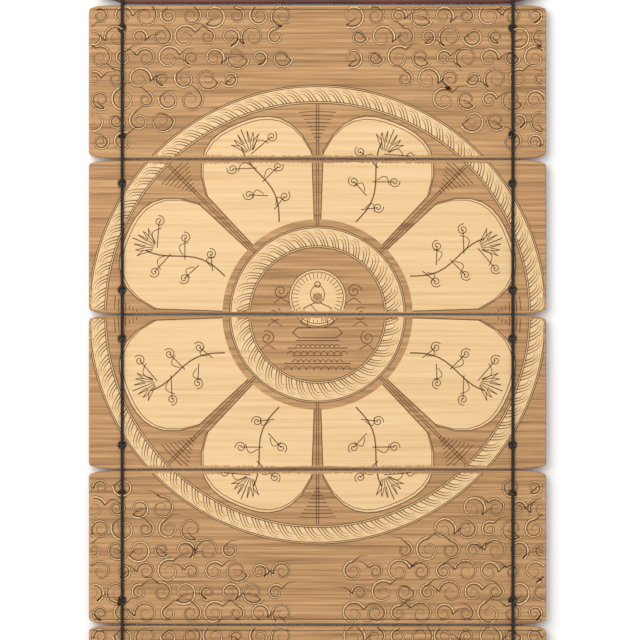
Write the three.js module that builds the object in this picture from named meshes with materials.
// A folding manuscript of flat bamboo boards laced into a concertina by two cords.
// Millimetres. X runs along the boards, Y along the chain of boards, Z up from the table.
import * as THREE from 'three';

// Boards
const LEAF_COUNT = 8;
const BOARD_LENGTH = 274;
const BOARD_WIDTH = 91.8;
const BOARD_THICK = 5;
const EDGE_BOW = 1.5;
const EDGE_BOW_REACH = 12;
const LEAF_CORNER = 2.5;
const COVER_CORNER = 16;
const EDGE_ROUND = 0.6;
const BOARD_GAP = 1.2;

// Lacing
const CORD_D = 2;
const CORD_CLEAR = 0.3;
const LEG_GAP = 0.3;
const HOLE_CLEAR = 0.35;
const HOLE_INSET = 14;
const CORD_LINE_LEFT = -117;
const CORD_LINE_RIGHT = 117;
const BEND_RADIUS = 1.5;
const CORD_SIDES = 8;
const BEND_STEPS = 2;
const HOLE_SIDES = 12;

// What follows from them
const boardCount = LEAF_COUNT + 2;
const pitch = BOARD_WIDTH + BOARD_GAP;
const cordR = CORD_D / 2;
const flatShare = Math.cos(Math.PI / CORD_SIDES);
const backFace = CORD_CLEAR + CORD_D * flatShare;
const frontFace = backFace + BOARD_THICK;
const legOffset = cordR + LEG_GAP / 2;
const holeR = (legOffset + cordR + HOLE_CLEAR) / Math.cos(Math.PI / HOLE_SIDES);
const holeFromMiddle = BOARD_WIDTH / 2 - HOLE_INSET;
const cordLines = { left: CORD_LINE_LEFT, right: CORD_LINE_RIGHT };
const boardY = (index) => (boardCount / 2 - 0.5 - index) * pitch;

const bamboo = () => new THREE.MeshStandardMaterial({ color: 0xc49a6c, roughness: 0.55, metalness: 0 });
const lacquer = () => new THREE.MeshStandardMaterial({ color: 0x6b2f1e, roughness: 0.4, metalness: 0 });
const cord = () => new THREE.MeshStandardMaterial({ color: 0x1a1512, roughness: 0.85, metalness: 0 });

const group = new THREE.Group();

// A hole for two cord legs that lie one behind the other along Y
function cordHole(x, y) {
  const hole = new THREE.Path();
  for (let i = 0; i < HOLE_SIDES; i += 1) {
    const turn = (-2 * Math.PI * (i + 0.5)) / HOLE_SIDES;
    const px = x + holeR * Math.cos(turn);
    const py = y + holeR * Math.sin(turn);
    if (i === 0) {
      hole.moveTo(px, py);
    } else {
      hole.lineTo(px, py);
    }
  }
  hole.closePath();
  return hole;
}

// One board: long edges that draw in at their ends, rounded corners and four cord holes
function board(name, index, corner, material) {
  const halfL = BOARD_LENGTH / 2;
  const halfW = BOARD_WIDTH / 2;
  const endW = halfW - EDGE_BOW;
  const bowX = halfL - corner - EDGE_BOW_REACH;
  const outline = new THREE.Shape();
  outline.moveTo(-bowX, -halfW);
  outline.lineTo(bowX, -halfW);
  outline.quadraticCurveTo(halfL - corner, -halfW + EDGE_BOW / 4, halfL - corner, -endW);
  outline.quadraticCurveTo(halfL, -endW, halfL, -endW + corner);
  outline.lineTo(halfL, endW - corner);
  outline.quadraticCurveTo(halfL, endW, halfL - corner, endW);
  outline.quadraticCurveTo(halfL - corner, halfW - EDGE_BOW / 4, bowX, halfW);
  outline.lineTo(-bowX, halfW);
  outline.quadraticCurveTo(-halfL + corner, halfW - EDGE_BOW / 4, -halfL + corner, endW);
  outline.quadraticCurveTo(-halfL, endW, -halfL, endW - corner);
  outline.lineTo(-halfL, -endW + corner);
  outline.quadraticCurveTo(-halfL, -endW, -halfL + corner, -endW);
  outline.quadraticCurveTo(-halfL + corner, -halfW + EDGE_BOW / 4, -bowX, -halfW);
  for (const x of Object.values(cordLines)) {
    outline.holes.push(cordHole(x, -holeFromMiddle), cordHole(x, holeFromMiddle));
  }
  const solid = new THREE.ExtrudeGeometry(outline, {
    depth: BOARD_THICK - 2 * EDGE_ROUND,
    bevelEnabled: true,
    bevelThickness: EDGE_ROUND,
    bevelSize: EDGE_ROUND,
    bevelOffset: -EDGE_ROUND,
    bevelSegments: 1,
    curveSegments: 3,
  });
  const mesh = new THREE.Mesh(solid, material);
  mesh.name = name;
  mesh.position.set(0, boardY(index), backFace + EDGE_ROUND);
  group.add(mesh);
}

// One stitch: front run, two legs and back run as an unbroken loop in the YZ plane
function stitch(name, x, yLow, yHigh) {
  const zLow = backFace - CORD_CLEAR - cordR * flatShare;
  const zHigh = frontFace + CORD_CLEAR + cordR * flatShare;
  const corners = [
    [yHigh, zLow, -Math.PI / 2],
    [yHigh, zHigh, 0],
    [yLow, zHigh, Math.PI / 2],
    [yLow, zLow, Math.PI],
  ];
  const rings = [];
  for (const [y, z, from] of corners) {
    const cy = y - Math.sign(y - (yLow + yHigh) / 2) * BEND_RADIUS;
    const cz = z - Math.sign(z - (zLow + zHigh) / 2) * BEND_RADIUS;
    for (let i = 0; i <= BEND_STEPS; i += 1) {
      const turn = from + ((Math.PI / 2) * i) / BEND_STEPS;
      rings.push({ y: cy + BEND_RADIUS * Math.cos(turn), z: cz + BEND_RADIUS * Math.sin(turn), turn });
    }
  }
  const points = [];
  for (const ring of rings) {
    for (let s = 0; s < CORD_SIDES; s += 1) {
      const round = (2 * Math.PI * (s + 0.5)) / CORD_SIDES;
      const out = cordR * Math.cos(round);
      points.push(x + cordR * Math.sin(round));
      points.push(ring.y + out * Math.cos(ring.turn), ring.z + out * Math.sin(ring.turn));
    }
  }
  const faces = [];
  for (let r = 0; r < rings.length; r += 1) {
    const next = (r + 1) % rings.length;
    for (let s = 0; s < CORD_SIDES; s += 1) {
      const t = (s + 1) % CORD_SIDES;
      const a = r * CORD_SIDES + s;
      const b = r * CORD_SIDES + t;
      const c = next * CORD_SIDES + t;
      const d = next * CORD_SIDES + s;
      faces.push(a, c, b, a, d, c);
    }
  }
  const solid = new THREE.BufferGeometry();
  solid.setAttribute('position', new THREE.Float32BufferAttribute(points, 3));
  solid.setIndex(faces);
  solid.computeVertexNormals();
  const mesh = new THREE.Mesh(solid, cord());
  mesh.name = name;
  group.add(mesh);
}

board('cover_board_top', 0, COVER_CORNER, lacquer());
for (let i = 1; i <= LEAF_COUNT; i += 1) {
  board(`leaf_${i}`, i, LEAF_CORNER, bamboo());
}
board('cover_board_bottom', boardCount - 1, COVER_CORNER, lacquer());

for (const [side, x] of Object.entries(cordLines)) {
  for (let i = 0; i < boardCount; i += 1) {
    const reach = holeFromMiddle - legOffset;
    stitch(`cord_${side}_board_${i + 1}`, x, boardY(i) - reach, boardY(i) + reach);
  }
  for (let i = 0; i < boardCount - 1; i += 1) {
    const above = boardY(i) - holeFromMiddle - legOffset;
    const below = boardY(i + 1) + holeFromMiddle + legOffset;
    stitch(`cord_${side}_seam_${i + 1}`, x, below, above);
  }
}

export default group;
